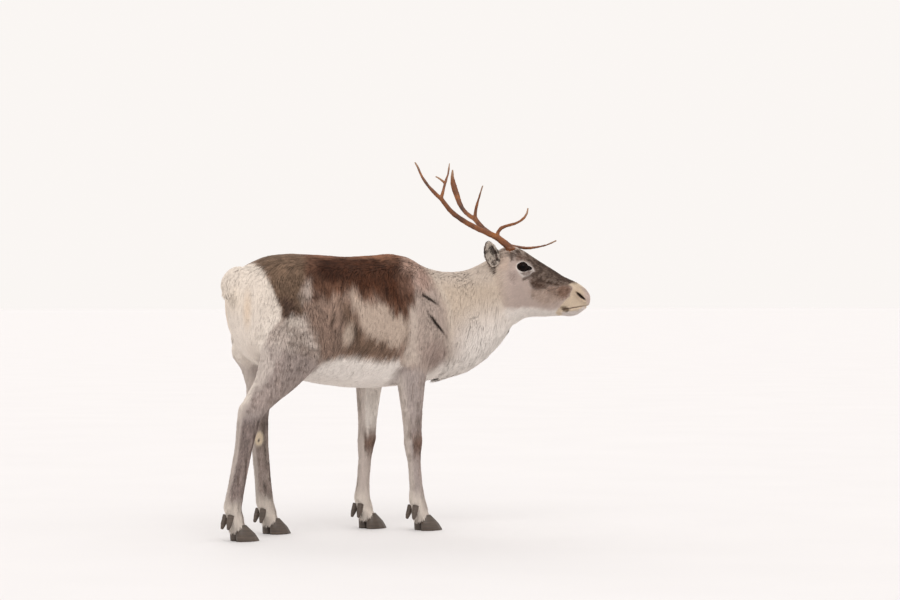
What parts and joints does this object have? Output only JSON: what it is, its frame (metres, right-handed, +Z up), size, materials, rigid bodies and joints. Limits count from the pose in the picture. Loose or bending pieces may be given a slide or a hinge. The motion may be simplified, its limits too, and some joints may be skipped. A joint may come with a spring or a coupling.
{
  "type": "reindeer model",
  "caption": "Life-size still model of a standing reindeer cow in winter coat with slim antlers, head raised and turned to its right.",
  "frame": {"origin": "on the floor, under the middle of the whole model's box", "axes": "+X along the trunk from rump to chest, +Y to the animal's left, +Z up"},
  "size_m": [1.3366, 0.5588, 1.2675],
  "materials": {
    "coat": "dense winter fur, dark brown on the back, grey on flanks and legs, cream on rump, belly and neck",
    "hoof": "dark horn with fine growth rings",
    "antler": "reddish-brown polished bone with fine grooves, paler at the tips",
    "eye": "wet dark eye"
  },
  "bodies": {
    "root": {"antler_left_beam": "antler", "antler_left_brow_tine": "antler", "antler_left_middle_tine": "antler", "antler_left_upper_beam": "antler", "antler_right_beam": "antler", "antler_right_bez_tine": "antler", "antler_right_front_branch": "antler", "antler_right_rear_branch": "antler", "antler_right_snag": "antler", "ear_left": "coat", "ear_right": "coat", "eye_left": "eye", "eye_right": "eye", "foreleg_left_cannon": "coat", "foreleg_left_dewclaw_inner": "hoof", "foreleg_left_dewclaw_outer": "hoof", "foreleg_left_forearm": "coat", "foreleg_left_hoof_inner": "hoof", "foreleg_left_hoof_outer": "hoof", "foreleg_left_pastern": "coat", "foreleg_left_upper_arm": "coat", "foreleg_right_cannon": "coat", "foreleg_right_dewclaw_inner": "hoof", "foreleg_right_dewclaw_outer": "hoof", "foreleg_right_forearm": "coat", "foreleg_right_hoof_inner": "hoof", "foreleg_right_hoof_outer": "hoof", "foreleg_right_pastern": "coat", "foreleg_right_upper_arm": "coat", "head": "coat", "hindleg_left_cannon": "coat", "hindleg_left_dewclaw_inner": "hoof", "hindleg_left_dewclaw_outer": "hoof", "hindleg_left_gaskin": "coat", "hindleg_left_hoof_inner": "hoof", "hindleg_left_hoof_outer": "hoof", "hindleg_left_pastern": "coat", "hindleg_left_thigh": "coat", "hindleg_right_cannon": "coat", "hindleg_right_dewclaw_inner": "hoof", "hindleg_right_dewclaw_outer": "hoof", "hindleg_right_gaskin": "coat", "hindleg_right_hoof_inner": "hoof", "hindleg_right_hoof_outer": "hoof", "hindleg_right_pastern": "coat", "hindleg_right_thigh": "coat", "lower_jaw": "coat", "neck": "coat", "tail": "coat", "trunk": "coat"}
  },
  "joints": []
}
